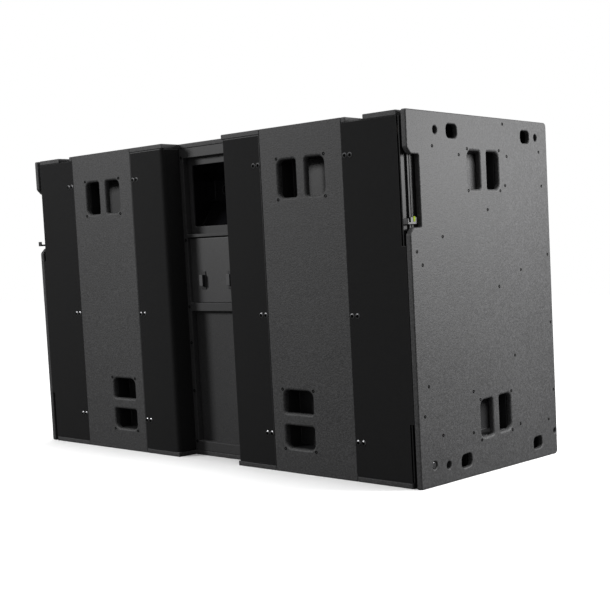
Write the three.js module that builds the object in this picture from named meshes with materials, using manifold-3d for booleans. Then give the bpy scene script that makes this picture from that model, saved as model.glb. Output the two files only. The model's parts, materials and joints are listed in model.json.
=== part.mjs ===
// Line array loudspeaker element: a tall, wide cabinet that hangs in a column with others like it.
// Lengths are millimetres, +Z is up, and +Y is the sound side. The cabinet is a wedge in side view,
// so it is drawn square to its rear face and top, then laid back until its underside is level.
import * as THREE from 'three';
import { mergeVertices } from 'three/addons/utils/BufferGeometryUtils.js';
import Module from 'manifold-3d';

const wasm = await Module();
wasm.setup();

// Cabinet
const width = 1340;
const height = 834;
const depth = 638;
const wedge = THREE.MathUtils.degToRad(3.3);
const sideT = 14;
const panelT = 12;
const fitGap = 0.3;
const sheetT = 2;

// Centre channel of the rear face, between the two blocks
const channelHalf = 110;
const channelDepth = 62;
const flankT = 12;
const flankRadius = 12;
const frameT = 18;
const stile = 13;
const backPlateT = 4;
const topRail = 26;
const dishBay = 203;
const thinRail = 8.5;
const hatchBay = 175;
const midRail = 22;
const bottomRail = 26;

// Rear strips, grilles and the notches in the top beside them
const stripInset = 17.6;
const stripWidth = 251.6;
const stripT = 15;
const topNotch = { fromStrip: 13, width: 49, depth: 66 };

// Hand holes: two slots with a bar between, and a cup behind them
const slotWidth = 56;
const slotLength = 90;
const gripBar = 30;
const cupDepth = 44;
const cupWall = 2;
const cupFlange = 8.5;
const cupFlangeT = 4;
const rearHandUpper = { fromTop: 124.5, inboard: 1 };
const rearHandLower = { fromBottom: 131, inboard: 43.6 };
const sideHandUpper = { fromTop: 128, fromRear: 317 };
const sideHandLower = { fromBottom: 115, fromRear: 331 };

// Rigging: tracks inside the side panels, link arms, windows and pin holes
const trackInset = 28;
const webInset = 6.2;
const webT = 4;
const armWidth = 55;
const armFromEdge = { rear: 27.5, front: 20 };
const armClear = 3.5;
const guideRail = { gap: 1.5, width: 6, short: 1.2 };
const armT = 5;
const armGap = 0.5;
const armBelowTop = 2;
const armLength = 266;
const armHoleR = 8;
const pocketReach = { rear: 212, front: 148 };
const pocketWall = 3;
const pocketHeight = 50;
const windowSize = { width: 46, height: 32, radius: 12 };
const windowFromEdge = 41;
const windowFromRear = { upper: 181, lower: 189 };
const windowFromFront = { upper: 115, lower: 105 };
const pinHoleR = 9;
const pinHoleFromRear = 112;
const pinHoleFromFront = 60;
const armSlot = 11;
const upperSlotLength = 296.5;
const lowerSlotLength = 144;
const edgeNotch = { fromTop: 97, length: 160, depth: 44, chamfer: 14 };
const panelCorner = { front: 12, rear: 5, notch: 4 };
const cornerHole = { r: 7, fromFront: 12, fromEdge: 62 };
const lockPin = { r: 7.5, fromRear: 55, fromBottom: 45, length: 46, proud: 12 };
const bossWall = 4;

// Lock lever on each rear arm
const leverPivot = { fromRear: 32, fromNotch: 15, r: 3 };
const leverT = 5;
const leverReach = 38;
const leverHalf = 8;
const leverGrip = { width: 13, length: 14, t: 5, lip: 3.5, lipHeight: 13 };

// Hatch
const doorT = 10;
const barrelR = doorT / 2;
const doorSet = 8;
const doorGap = 0.5;
const hingeR = 2;
const pocketDepth = 66;
const latch = { x: 50, fromBayBottom: 60, width: 18, height: 48, plateT: 2, proud: 12.5 };
const latchGrip = { width: 12.5, height: 30 };
const latchStem = { width: 6, height: 12, outward: 4 };
const latchNose = { t: 2.5, height: 14 };
const latchTravel = 8;

// Connector dish
const dishRim = { side: 12.5, top: 20, radius: 6, flange: 12 };
const dishFloor = 25;
const dishDraft = 4;
const dishThroat = { height: 54, above: 15 };
const dishDepth = 80;
const dishWall = 3;
const socketR = 13.6;
const socketX = 38;
const socketFlange = { width: 3, t: 2.5 };

// Sound side
const baffleT = 18;
const baffleSet = 45;
const rearBaffleY = 70;
const rearBaffleT = 15;
const wooferMargin = 10;
const wooferDepth = 150;
const wooferFlangeT = 6;
const wooferFlange = 18;
const hornHalf = 92;
const hornDepth = 158;
const hornThroat = 9;
const hornWall = 8;
const hfCount = 4;
const hfR = 58;
const hfDepth = 78;

const runGap = 0.4;
const big = 4000;

const innerX = width / 2 - sideT - fitGap;
const trackX = innerX - trackInset;
const webX = innerX - webInset;
const stripCentre = (channelHalf + width / 2 - sideT) / 2 - stripInset;
const stripX = [stripCentre - stripWidth / 2, stripCentre + stripWidth / 2];
const ceiling = height - panelT - fitGap;
const frameY = [channelDepth + fitGap, channelDepth + fitGap + frameT];
const backPlateY = [frameY[1] + fitGap, frameY[1] + fitGap + backPlateT];
const dishBayZ = [ceiling - topRail - dishBay, ceiling - topRail];
const hatchBayZ = [dishBayZ[0] - thinRail - hatchBay, dishBayZ[0] - thinRail];
const coverBayZ = [bottomRail + floorTop(channelDepth), hatchBayZ[0] - midRail];
const bayHalf = channelHalf - stile;
const notchZ = [height - edgeNotch.fromTop - edgeNotch.length, height - edgeNotch.fromTop];
const pairLength = 2 * slotWidth + gripBar;
const frontBaffleY = [depth - baffleSet - baffleT, depth - baffleSet];

const finishes = {
  paint: new THREE.MeshStandardMaterial({ color: 0x4a4a4a, roughness: 0.75, metalness: 0 }),
  grille: new THREE.MeshStandardMaterial({ color: 0x1c1c1c, roughness: 0.6, metalness: 0.4 }),
  steel: new THREE.MeshStandardMaterial({ color: 0x303032, roughness: 0.5, metalness: 0.7 }),
  plastic: new THREE.MeshStandardMaterial({ color: 0x0c0c0d, roughness: 0.45, metalness: 0 }),
  plated: new THREE.MeshStandardMaterial({ color: 0x9a9a9c, roughness: 0.35, metalness: 0.9 }),
  wood: new THREE.MeshStandardMaterial({ color: 0x8a6a45, roughness: 0.8, metalness: 0 }),
  cone: new THREE.MeshStandardMaterial({ color: 0x151515, roughness: 0.9, metalness: 0 }),
};

// Outer and inner faces of the sloping bottom panel at a distance from the rear face
function floorBottom(y) {
  return -y * Math.tan(wedge);
}

function floorTop(y) {
  return floorBottom(y) + panelT / Math.cos(wedge);
}

// A closed geometry as a solid that can be cut and joined
function toSolid(geometry) {
  const plain = geometry.index ? geometry.toNonIndexed() : geometry.clone();
  plain.deleteAttribute('normal');
  plain.deleteAttribute('uv');
  const merged = mergeVertices(plain, 1e-3);
  const triVerts = [];
  for (let i = 0; i < merged.index.count; i += 3) {
    const corner = [0, 1, 2].map((k) => merged.index.getX(i + k));
    if (new Set(corner).size === 3) triVerts.push(...corner);
  }
  return new wasm.Manifold(new wasm.Mesh({
    numProp: 3,
    vertProperties: Float32Array.from(merged.attributes.position.array),
    triVerts: Uint32Array.from(triVerts),
  }));
}

function toGeometry(solid) {
  const mesh = solid.getMesh();
  const geometry = new THREE.BufferGeometry();
  geometry.setAttribute('position', new THREE.BufferAttribute(mesh.vertProperties, 3));
  geometry.setIndex(new THREE.BufferAttribute(mesh.triVerts, 1));
  return geometry;
}

function block(x, y, z) {
  const box = new THREE.BoxGeometry(x[1] - x[0], y[1] - y[0], z[1] - z[0]);
  box.translate((x[0] + x[1]) / 2, (y[0] + y[1]) / 2, (z[0] + z[1]) / 2);
  return toSolid(box);
}

// An outline pushed along an axis: along x it is drawn in (y, z), along y in (x, z), along z in (x, y)
function prism(outline, axis, from, to) {
  const drawn = () => new THREE.Shape(outline.map((p) => new THREE.Vector2(...p)));
  const shape = Array.isArray(outline) ? drawn() : outline;
  const solid = new THREE.ExtrudeGeometry(shape, { depth: to - from, bevelEnabled: false, curveSegments: 4 });
  const turn = new THREE.Matrix4();
  if (axis === 'x') turn.set(0, 0, 1, from, 1, 0, 0, 0, 0, 1, 0, 0, 0, 0, 0, 1);
  if (axis === 'y') turn.set(1, 0, 0, 0, 0, 0, -1, to, 0, 1, 0, 0, 0, 0, 0, 1);
  if (axis === 'z') turn.set(1, 0, 0, 0, 0, 1, 0, 0, 0, 0, 1, from, 0, 0, 0, 1);
  return toSolid(solid.applyMatrix4(turn));
}

// A rectangle with its own radius at each corner, counted anticlockwise from the lower left one
function roundedRect(centre, size, radii) {
  const [u, v] = [size[0] / 2, size[1] / 2];
  const shape = new THREE.Shape();
  const corners = [[-1, -1, Math.PI], [1, -1, -Math.PI / 2], [1, 1, 0], [-1, 1, Math.PI / 2]];
  corners.forEach(([i, j, start], k) => {
    const r = radii[k];
    shape.absarc(centre[0] + i * (u - r), centre[1] + j * (v - r), r, start, start + Math.PI / 2, false);
  });
  return shape;
}

// A closed outline of (u, v, setback) corners, each eased over its setback along both edges
function softOutline(corners) {
  const shape = new THREE.Shape();
  const count = corners.length;
  corners.forEach(([u, v, setback], k) => {
    const here = new THREE.Vector2(u, v);
    const toward = (other) => {
      const there = new THREE.Vector2(...other);
      return here.clone().lerp(there, setback / here.distanceTo(there));
    };
    const start = toward(corners[(k + count - 1) % count]);
    const end = toward(corners[(k + 1) % count]);
    if (k === 0) shape.moveTo(start.x, start.y);
    else shape.lineTo(start.x, start.y);
    shape.quadraticCurveTo(u, v, end.x, end.y);
  });
  shape.closePath();
  return shape;
}

function rod(axis, centre, radius, from, to, sides = 20) {
  const circle = new THREE.Shape();
  circle.absarc(centre[0], centre[1], radius, 0, 2 * Math.PI, false);
  const count = Math.round(sides / 4);
  const points = circle.extractPoints(count * 4).shape.map((p) => [p.x, p.y]);
  return prism(points, axis, from, to);
}

function union(...solids) {
  return solids.reduce((whole, solid) => whole.add(solid));
}

function cut(solid, ...tools) {
  return tools.reduce((rest, tool) => rest.subtract(tool), solid);
}

// A lathe profile of (radius, distance) points, turned about y and pointing along +y
function turned(profile, sides = 20) {
  return toSolid(new THREE.LatheGeometry(profile.map((p) => new THREE.Vector2(...p)), sides));
}

function addMesh(parent, name, solid, finish) {
  const mesh = new THREE.Mesh(solid.isBufferGeometry ? solid : toGeometry(solid), finish);
  mesh.name = name;
  parent.add(mesh);
  return mesh;
}

// The two slots of a hand hole, as shapes; the corners beside the bar are tighter
function handSlots(centre, upright) {
  const offset = (slotWidth + gripBar) / 2;
  const [wide, tight] = [16, 6];
  if (upright) {
    return [
      roundedRect([centre[0] - offset, centre[1]], [slotWidth, slotLength], [wide, tight, tight, wide]),
      roundedRect([centre[0] + offset, centre[1]], [slotWidth, slotLength], [tight, wide, wide, tight]),
    ];
  }
  return [
    roundedRect([centre[0], centre[1] - offset], [slotLength, slotWidth], [wide, wide, tight, tight]),
    roundedRect([centre[0], centre[1] + offset], [slotLength, slotWidth], [tight, tight, wide, wide]),
  ];
}

// A moulded cup, open towards -y, with a screw flange round its mouth
function handCup(upright) {
  const size = upright ? [pairLength, slotLength] : [slotLength, pairLength];
  const spread = (grow) => [size[0] / 2 + grow, size[1] / 2 + grow];
  const layer = (grow, y) => {
    const [u, v] = spread(grow);
    return block([-u, u], y, [-v, v]);
  };
  const shell = union(layer(cupFlange + cupWall, [0, cupFlangeT]), layer(cupWall, [0, cupDepth]));
  return cut(shell, layer(0, [-1, cupDepth - cupWall]));
}

// The side panel for +X, with its holes, windows, hand holes and the notch in its rear edge
function sidePanel() {
  const { depth: nd, chamfer: nc } = edgeNotch;
  const { front, rear, notch } = panelCorner;
  const outline = softOutline([
    [0, 0, rear], [depth, floorBottom(depth), front], [depth, height, front], [0, height, rear],
    [0, notchZ[1] + nc, notch], [nc, notchZ[1], notch], [nd, notchZ[1], notch],
    [nd, notchZ[0], notch], [nc, notchZ[0], notch], [0, notchZ[0] - nc, notch],
  ]);
  const span = [width / 2 - sideT, width / 2];
  const through = (shape) => prism(shape, 'x', span[0] - 1, span[1] + 1);
  const holes = [];
  for (const centre of windowCentres()) {
    const r = windowSize.radius;
    holes.push(through(roundedRect(centre, [windowSize.width, windowSize.height], [r, r, r, r])));
  }
  for (const hand of sideHands()) {
    holes.push(...handSlots(hand, true).map(through));
  }
  for (const [y, z] of pinHoles()) {
    holes.push(rod('x', [y, z], pinHoleR, span[0] - 1, span[1] + 1, 16));
  }
  const cornerY = depth - cornerHole.fromFront;
  const corner = [cornerY, floorBottom(cornerY) + cornerHole.fromEdge];
  holes.push(rod('x', corner, cornerHole.r, span[0] - 1, span[1] + 1, 16));
  return cut(prism(outline, 'x', ...span), ...holes);
}

function sideHands() {
  return [
    [sideHandUpper.fromRear, height - sideHandUpper.fromTop],
    [sideHandLower.fromRear, sideHandLower.fromBottom],
  ];
}

// Window centres as (y, z): rear upper, front upper, rear lower, front lower
function windowCentres() {
  const low = (y) => [y, floorBottom(y) + windowFromEdge];
  return [
    [windowFromRear.upper, height - windowFromEdge],
    [depth - windowFromFront.upper, height - windowFromEdge],
    low(windowFromRear.lower),
    low(depth - windowFromFront.lower),
  ];
}

function pinHoles() {
  return [
    [pinHoleFromRear, height - windowFromEdge],
    [depth - pinHoleFromFront, height - windowFromEdge],
    [pinHoleFromRear, floorBottom(pinHoleFromRear) + windowFromEdge],
    [lockPin.fromRear, lockPin.fromBottom],
  ];
}

// What the top and bottom panels leave free: the channel, the strips and the link arms' slots
function panelCutters() {
  const tall = [-big, big];
  const tools = [block([-channelHalf, channelHalf], [-1, channelDepth], tall)];
  for (const side of [-1, 1]) {
    const at = (low, high) => [Math.min(side * low, side * high), Math.max(side * low, side * high)];
    tools.push(block(at(stripX[0] - fitGap, stripX[1] + fitGap), [-1, stripT + fitGap], tall));
    tools.push(block(at(innerX - armSlot, innerX + 1), [-1, armPocket(false)], tall));
    tools.push(block(at(innerX - armSlot, innerX + 1), [depth - armPocket(true), depth + 1], tall));
  }
  return tools;
}

function topPanel() {
  const whole = block([-innerX, innerX], [0, depth], [height - panelT, height]);
  const notches = [-1, 1].map((side) => {
    const x = [stripX[1] + topNotch.fromStrip, stripX[1] + topNotch.fromStrip + topNotch.width];
    const span = side > 0 ? x : [-x[1], -x[0]];
    return block(span, [-1, topNotch.depth], [-big, big]);
  });
  return cut(whole, ...panelCutters(), ...notches);
}

function bottomPanel() {
  const outline = [[0, 0], [depth, floorBottom(depth)], [depth, floorTop(depth)], [0, floorTop(0)]];
  return cut(prism(outline, 'x', -innerX, innerX), ...panelCutters());
}

function rearStrip() {
  const holes = rearHands().flatMap(([x, z, upright]) => handSlots([x, z], upright));
  const board = block(stripX, [0, stripT], [0, height]);
  return cut(board, ...holes.map((hole) => prism(hole, 'y', -1, stripT + 1)));
}

function rearHands() {
  return [
    [stripCentre - rearHandUpper.inboard, height - rearHandUpper.fromTop, true],
    [stripCentre - rearHandLower.inboard, rearHandLower.fromBottom, false],
  ];
}

// The outer grille stops short of the side panel where the rigging slots run
function outerGrille() {
  const z = [floorTop(0) + fitGap, ceiling];
  const sheet = block([stripX[1] + fitGap, innerX], [0, sheetT], z);
  const slotX = [innerX - armSlot, innerX + 1];
  const upper = block(slotX, [-1, sheetT + 1], [height - upperSlotLength, height]);
  const lower = block(slotX, [-1, sheetT + 1], [0, lowerSlotLength]);
  return cut(sheet, upper, lower);
}

// The inner grille is one sheet that bends round the block's corner and runs into the channel
function innerGrille() {
  const r = flankRadius;
  const bend = [channelHalf + r, r];
  const plan = new THREE.Shape();
  plan.moveTo(stripX[0] - fitGap, 0);
  plan.lineTo(stripX[0] - fitGap, sheetT);
  plan.lineTo(bend[0], sheetT);
  plan.absarc(...bend, r - sheetT, 1.5 * Math.PI, Math.PI, true);
  plan.lineTo(channelHalf + sheetT, channelDepth);
  plan.lineTo(channelHalf, channelDepth);
  plan.lineTo(channelHalf, r);
  plan.absarc(...bend, r, Math.PI, 1.5 * Math.PI, false);
  return prism(plan, 'z', floorTop(0) + fitGap, ceiling);
}

function flankBoard() {
  const x = [channelHalf + sheetT + fitGap, channelHalf + sheetT + fitGap + flankT];
  const start = flankRadius + sheetT;
  return block(x, [start, backPlateY[1] + flankT], [floorTop(start) + fitGap, ceiling]);
}

function rearBaffle() {
  const x = [channelHalf + sheetT + 2 * fitGap + flankT, trackX - fitGap];
  const plate = block(x, [rearBaffleY, rearBaffleY + rearBaffleT], [floorTop(rearBaffleY) + fitGap, ceiling]);
  const reach = [rearBaffleY - 1, rearBaffleY + rearBaffleT + 1];
  return cut(plate, rod('y', rearWooferAt(), wooferR() - wooferFlange, ...reach, 32));
}

// One woofer size for the whole cabinet, as large as the tightest of its four places allows
function wooferR() {
  const clearHeight = ceiling - floorTop(frontBaffleY[0]) - 3 * wooferMargin;
  const rearRoom = Math.min(stripCentre - channelHalf - flankT, trackX - stripCentre) - wooferMargin;
  const frontRoom = (trackX - hornHalf) / 2 - wooferMargin;
  return Math.min(clearHeight / 4, rearRoom, frontRoom);
}

function rearWooferAt() {
  return [stripCentre, (ceiling + floorTop(rearBaffleY)) / 2];
}

function frontWooferAt(level) {
  const middle = (ceiling + floorTop(frontBaffleY[0])) / 2;
  return [(hornHalf + trackX) / 2, middle + level * (wooferR() + wooferMargin / 2)];
}

// Woofer: cone and surround in front, pressed basket and magnet behind
function woofer() {
  const r = wooferR();
  const magnet = 0.52 * r;
  return turned([
    [0, 48], [0.16 * r, 50], [0.25 * r, 58], [0.8 * r, 16], [0.84 * r, 4], [0.9 * r, 4], [0.93 * r, 0],
    [r, 0], [r, wooferFlangeT], [r - wooferFlange - 2, wooferFlangeT], [r - wooferFlange - 8, 38],
    [magnet, 98], [magnet, wooferDepth], [0, wooferDepth],
  ], 24);
}

function frontBaffle() {
  const x = [hornHalf + fitGap, trackX - fitGap];
  const plate = block(x, frontBaffleY, [floorTop(frontBaffleY[0]) + fitGap, ceiling]);
  const reach = [frontBaffleY[0] - 1, frontBaffleY[1] + 1];
  const hole = (level) => rod('y', frontWooferAt(level), wooferR() - wooferFlange, ...reach, 32);
  return cut(plate, hole(-1), hole(1));
}

function frontGrille() {
  const x = [hornHalf + fitGap, webX - webT - fitGap];
  return block(x, [depth - sheetT, depth], [floorTop(depth - sheetT) + fitGap, ceiling]);
}

// The central horn: a full-height V with closed ends, open at its throat
function waveguide() {
  const rear = depth - hornDepth;
  const z = [floorTop(rear) + fitGap, ceiling];
  const outside = [
    [-hornHalf, depth], [-hornHalf, frontBaffleY[0]], [-hornThroat - 30, rear],
    [hornThroat + 30, rear], [hornHalf, frontBaffleY[0]], [hornHalf, depth],
  ];
  const flare = hornHalf - hornWall;
  const inside = [[-flare, depth + 1], [-hornThroat, rear - 1], [hornThroat, rear - 1], [flare, depth + 1]];
  return cut(prism(outside, 'z', ...z), prism(inside, 'z', z[0] + hornWall, z[1] - hornWall));
}

// Compression driver: phase-plug collar towards the horn and a finned pot behind it
function hfDriver() {
  return turned([
    [0, 0], [0.5 * hfR, 0], [0.5 * hfR, 12], [0.86 * hfR, 12], [0.86 * hfR, 24], [hfR, 24],
    [hfR, 66], [0.7 * hfR, hfDepth], [0, hfDepth],
  ], 20);
}

// The frame in the channel: three bays between stiles and rails, and bores for the hatch's hinge pin
function channelFrame() {
  const half = channelHalf + sheetT;
  const body = block([-half, half], frameY, [floorTop(channelDepth) + fitGap, ceiling]);
  const bays = [dishBayZ, hatchBayZ, coverBayZ].map((z) => block([-bayHalf, bayHalf], [0, depth], z));
  const [y, z] = hingeAt();
  return cut(body, ...bays, rod('x', [y, z], hingeR + runGap, -bayHalf - 7, bayHalf + 7, 16));
}

function hingeAt() {
  return [frameY[0] + doorSet + barrelR, hatchBayZ[1] - barrelR - doorGap];
}

function serviceCover() {
  const x = channelHalf - fitGap;
  const top = (coverBayZ[1] + hatchBayZ[0]) / 2 - fitGap;
  return block([-x, x], backPlateY, [coverBayZ[0] - bottomRail / 2, top]);
}

// The bezel behind the top bay, with the dish's rounded mouth in it
function dishBezel() {
  const x = channelHalf - fitGap;
  const z = [(dishBayZ[0] + hatchBayZ[1]) / 2 + fitGap, ceiling - fitGap];
  const [u, v] = dishMouth();
  const centre = (dishBayZ[0] + dishBayZ[1]) / 2;
  const r = dishRim.radius;
  const mouth = roundedRect([0, centre], [2 * u, 2 * v], [r, r, r, r]);
  return cut(block([-x, x], backPlateY, z), prism(mouth, 'y', 0, depth));
}

function dishMouth() {
  return [bayHalf - dishRim.side, dishBay / 2 - dishRim.top];
}

// The black moulded dish: straight lips, then floor and roof slant in to a small back wall
function connectorDish() {
  const [u, v] = dishMouth();
  const middle = (dishBayZ[0] + dishBayZ[1]) / 2;
  const start = backPlateY[1] + fitGap;
  const throat = [dishThroatZ() - dishThroat.height / 2, dishThroatZ() + dishThroat.height / 2];
  const section = (grow, from, back) => {
    const y = [from, start + dishFloor, back];
    const low = [middle - v, middle - v + dishDraft, throat[0]];
    const high = [middle + v, middle + v - dishDraft, throat[1]];
    const lower = y.map((value, k) => [value, low[k] - grow]);
    const upper = y.map((value, k) => [value, high[k] + grow]).reverse();
    return [...lower, ...upper];
  };
  const outside = section(dishWall, start, start + dishDepth + dishWall);
  const shell = prism(outside, 'x', -u - dishWall, u + dishWall);
  const rim = v + dishRim.flange;
  const flange = block([-bayHalf, bayHalf], [start, start + dishWall], [middle - rim, middle + rim]);
  const hollow = prism(section(0, start - 1, start + dishDepth), 'x', -u, u);
  const reach = [start + dishDepth - 1, start + dishDepth + dishWall + 1];
  const bores = [-1, 1].map((side) => rod('y', [side * socketX, dishThroatZ()], socketR + runGap, ...reach));
  return cut(union(shell, flange), hollow, ...bores);
}

// The dish's back wall, where the sockets are, sits above the middle of its mouth
function dishThroatZ() {
  return (dishBayZ[0] + dishBayZ[1]) / 2 + dishThroat.above;
}

// Round multi-pole socket, its face towards -y
function socket() {
  const { width: flange, t } = socketFlange;
  return turned([
    [0, 3.5], [10, 3.5], [10, 0], [socketR + flange, 0], [socketR + flange, t], [socketR, t],
    [socketR, 22], [9, 28], [0, 28],
  ], 20);
}

function hatchPocket() {
  const x = channelHalf - fitGap;
  const top = (dishBayZ[0] + hatchBayZ[1]) / 2 - fitGap;
  const low = (coverBayZ[1] + hatchBayZ[0]) / 2 + fitGap;
  const flange = block([-x, x], backPlateY, [low, top]);
  const inside = bayHalf + doorGap;
  const z = [hatchBayZ[0] - doorGap, hatchBayZ[1] + doorGap];
  const wall = 2.5;
  const back = backPlateY[0] + pocketDepth;
  const box = block([-inside - wall, inside + wall], [backPlateY[0], back], [z[0] - wall, z[1] + wall]);
  return cut(union(flange, box), block([-inside, inside], [0, back - wall], z));
}

// Top-hung door: a rounded barrel along its upper edge turns on the hinge pin
function hatchDoor() {
  const x = bayHalf - doorGap;
  const [hy, hz] = hingeAt();
  const y = [hy - barrelR, hy - barrelR + doorT];
  const slab = block([-x, x], y, [hatchBayZ[0] + doorGap, hz]);
  const barrel = rod('x', [hy, hz], barrelR, -x, x, 24);
  const tools = [rod('x', [hy, hz], hingeR + runGap, -x - 1, x + 1, 16)];
  const cz = latchZ();
  const [inner, outer] = latchStemX();
  const half = latchStem.height / 2 + runGap;
  for (const side of [-1, 1]) {
    const slot = mirrored(side, inner - latchTravel - runGap, outer + runGap);
    tools.push(block(slot, [y[0] - 1, y[1] + 1], [cz - half, cz + half]));
  }
  return cut(union(slab, barrel), ...tools);
}

// A span of x on the +X side, or its mirror image
function mirrored(side, low, high) {
  return side > 0 ? [low, high] : [-high, -low];
}

function latchZ() {
  return hatchBayZ[0] + latch.fromBayBottom;
}

// The stem sits towards the outer edge of its plate, so the plate covers the door's slot at rest
function latchStemX() {
  const middle = latch.x + latchStem.outward;
  return [middle - latchStem.width / 2, middle + latchStem.width / 2];
}

// Sliding catch: a plate with a raised grip on the door, a stem through it and a nose behind it
function hatchLatch(side) {
  const cz = latchZ();
  const face = hingeAt()[0] - barrelR;
  const front = face - runGap;
  const back = face + doorT + runGap;
  const around = (size) => [cz - size / 2, cz + size / 2];
  const centred = (size) => mirrored(side, latch.x - size / 2, latch.x + size / 2);
  const nose = mirrored(side, latchStemX()[0], bayHalf - doorGap);
  return union(
    block(centred(latch.width), [front - latch.plateT, front], around(latch.height)),
    block(centred(latchGrip.width), [face - latch.proud, front], around(latchGrip.height)),
    block(mirrored(side, ...latchStemX()), [front - 1, back + latchNose.t], around(latchStem.height)),
    block(nose, [back, back + latchNose.t], around(latchNose.height)),
  );
}

// A rigging track against one edge of the side panel. It is drawn for the rear edge with the
// distance from that edge as y, and the front one is the same profile turned round.
function riggingTrack(front) {
  const at = (y) => (front ? depth - y : y);
  const span = (a, b) => [Math.min(at(a), at(b)), Math.max(at(a), at(b))];
  const reach = front ? pocketReach.front : pocketReach.rear;
  const pocket = armPocket(front);
  const z = [floorTop(front ? depth : 0) + fitGap, ceiling];
  const back = [pocket - webT, pocket];
  const rail = (front ? armFromEdge.front : armFromEdge.rear) - guideRail.gap;
  const parts = [
    block([webX - webT, webX], span(sheetT + 1, pocket), z),
    block([trackX, innerX], span(...back), z),
    block([webX - 1, innerX - guideRail.short], span(rail - guideRail.width, rail), z),
  ];
  const half = pocketHeight / 2;
  const hollows = windowCentres().filter((centre, k) => (k % 2 === 1) === front).map(([, middle]) => {
    const low = Math.max(middle - half, middle < height / 2 ? floorTop(at(pocket)) + fitGap : 0);
    const high = Math.min(middle + half, ceiling);
    parts.push(block([trackX, innerX], span(back[0], reach), [low, high]));
    const inside = [low + pocketWall, high - pocketWall];
    return block([trackX + pocketWall, innerX + 1], span(pocket, reach - pocketWall), inside);
  });
  const body = cut(union(...parts), ...hollows);
  if (front) return cut(body, floorWedge());
  const centre = [lockPin.fromRear, lockPin.fromBottom];
  const boss = rod('x', centre, lockPin.r + bossWall, trackX, webX - 1, 20);
  return cut(union(body, boss), rod('x', centre, lockPin.r + runGap, trackX - 1, innerX, 20));
}

// How far from its edge of the cabinet a track's pocket for the link arm reaches
function armPocket(front) {
  return (front ? armFromEdge.front : armFromEdge.rear) + armWidth + armClear + webT;
}

// Everything under the bottom panel's inner face, for pieces that follow its slope
function floorWedge() {
  const top = (y) => [y, floorTop(y) + fitGap];
  return prism([[-10, -big], [depth + 10, -big], top(depth + 10), top(-10)], 'x', -big, big);
}

function linkArm(front) {
  const near = front ? armFromEdge.front : armFromEdge.rear;
  const y = front ? [depth - near - armWidth, depth - near] : [near, near + armWidth];
  const x = [innerX - armGap - armT, innerX - armGap];
  const top = height - armBelowTop;
  const bar = block(x, y, [top - armLength, top]);
  const middle = (y[0] + y[1]) / 2;
  const eye = rod('x', [middle, top - 2 * armHoleR], armHoleR, x[0] - 1, x[1] + 1, 16);
  if (front) return cut(bar, eye);
  return cut(bar, eye, rod('x', leverAt(), leverPivot.r + runGap, x[0] - 1, x[1] + 1, 16));
}

function leverAt() {
  return [leverPivot.fromRear, notchZ[0] + leverPivot.fromNotch];
}

// Thumb lever outside the arm, in the side panel's notch, with its pivot through the arm
function lockLever() {
  const [y, z] = leverAt();
  const x = innerX - armGap + runGap;
  const tip = y - leverReach;
  const base = z - leverHalf;
  const { width: gripWidth, length, t, lip, lipHeight } = leverGrip;
  const cheek = block([x, x + leverT], [y - leverHalf * 2, y + leverHalf], [base, z + leverHalf]);
  const neck = block([x, x + leverT], [tip, y], [base, base + t]);
  const grip = block([x, x + gripWidth], [tip, tip + length], [base, base + t]);
  const upturn = block([x, x + gripWidth], [tip, tip + lip], [base, base + lipHeight]);
  return union(cheek, neck, grip, upturn, rod('x', [y, z], leverPivot.r, x - armT - 1, x + leverT, 16));
}

function lockPinSolid() {
  const tip = innerX + lockPin.proud;
  return rod('x', [lockPin.fromRear, lockPin.fromBottom], lockPin.r, tip - lockPin.length, tip, 20);
}

// Everything that comes in a left and right version is drawn for +X and mirrored
function addSide(cabinet, side) {
  const half = new THREE.Group();
  half.scale.x = side;
  cabinet.add(half);
  const label = side > 0 ? 'right' : 'left';
  const add = (name, solid, finish) => addMesh(half, `${name}_${label}`, solid, finishes[finish]);
  add('side_panel', sidePanel(), 'paint');
  add('rear_strip', rearStrip(), 'paint');
  add('rear_grille_outer', outerGrille(), 'grille');
  add('rear_grille_inner', innerGrille(), 'grille');
  add('flank_board', flankBoard(), 'wood');
  add('rear_baffle', rearBaffle(), 'wood');
  add('front_baffle', frontBaffle(), 'wood');
  add('front_grille', frontGrille(), 'grille');
  for (const [place, front] of [['rear', false], ['front', true]]) {
    add(`${place}_rigging_track`, riggingTrack(front), 'steel');
    add(`${place}_link_arm`, linkArm(front), 'steel');
  }
  add('rear_lock_lever', lockLever(), 'steel');
  add('lock_pin', lockPinSolid(), 'plated');
  ['upper', 'lower'].forEach((level, k) => {
    const [x, z, upright] = rearHands()[k];
    add(`rear_hand_cup_${level}`, handCup(upright), 'plastic').position.set(x, stripT + fitGap, z);
    const [y, sideZ] = sideHands()[k];
    const cup = add(`side_hand_cup_${level}`, handCup(true), 'plastic');
    cup.rotation.z = Math.PI / 2;
    cup.position.set(innerX, y, sideZ);
    const [wx, wz] = frontWooferAt(1 - 2 * k);
    const front = add(`front_woofer_${level}`, woofer(), 'cone');
    front.rotation.z = Math.PI;
    front.position.set(wx, frontBaffleY[1] + fitGap + wooferFlangeT, wz);
  });
  const [rx, rz] = rearWooferAt();
  add('rear_woofer', woofer(), 'cone').position.set(rx, rearBaffleY - fitGap - wooferFlangeT, rz);
}

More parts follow.
